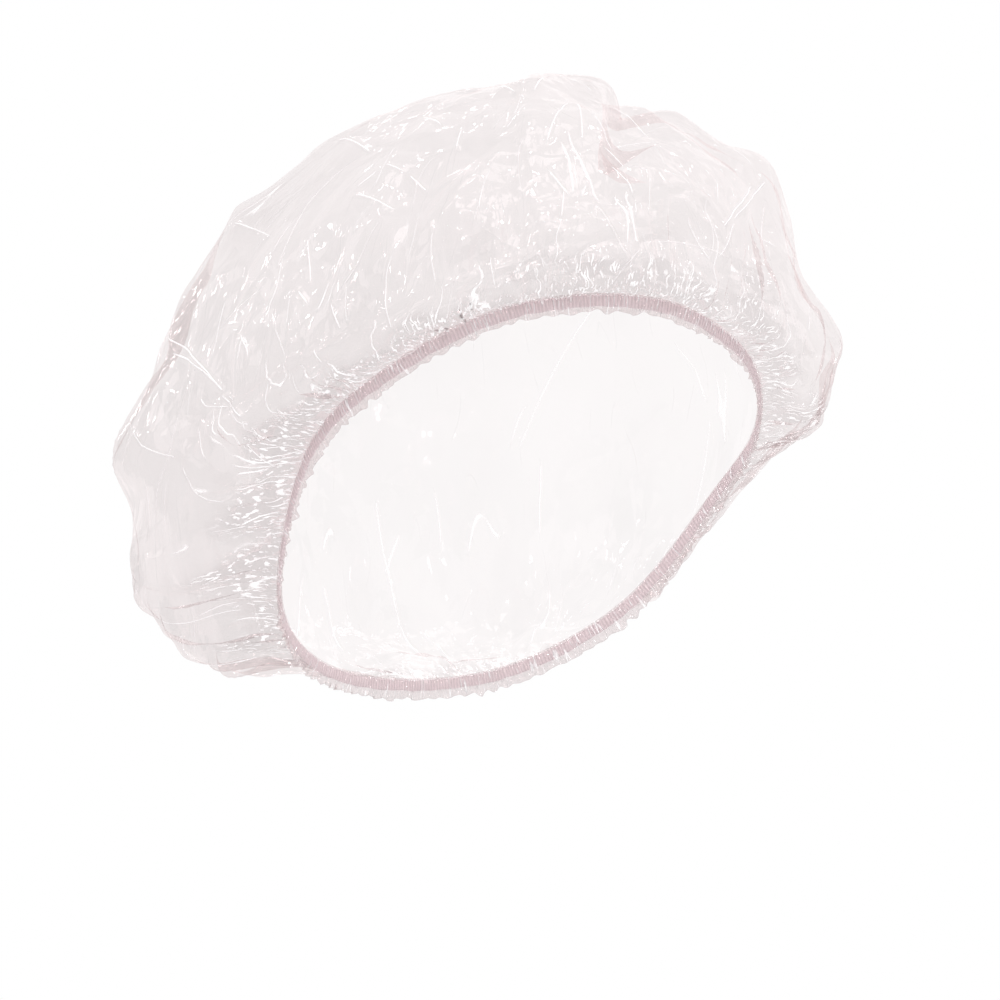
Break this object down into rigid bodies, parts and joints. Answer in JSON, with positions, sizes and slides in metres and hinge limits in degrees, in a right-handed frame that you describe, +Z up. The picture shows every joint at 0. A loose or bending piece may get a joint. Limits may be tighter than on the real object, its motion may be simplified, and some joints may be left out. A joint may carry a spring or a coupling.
{
  "type": "shower cap",
  "caption": "Clear film bouffant shower cap in its worn shape, gathered onto an elastic loop in a folded hem with a short frill",
  "frame": {"origin": "centre of the head opening, where the wearer's head holds the cap, halfway in height between forehead and nape", "axes": "+Z up along the upright head, -Y towards the face, so that -X is the wearer's right"},
  "size_m": [0.2257, 0.2344, 0.2043],
  "materials": {
    "clear_film": "thin clear polyethylene film, crumpled, with sharp highlights along its creases",
    "hem_film": "the same film folded double and puckered over the elastic",
    "elastic": "flat woven elastic strip, mauve grey, fine crosswise ribs"
  },
  "bodies": {
    "root": {"film_bag": "clear_film", "hem_fold": "hem_film", "elastic_loop": "elastic"}
  },
  "joints": []
}
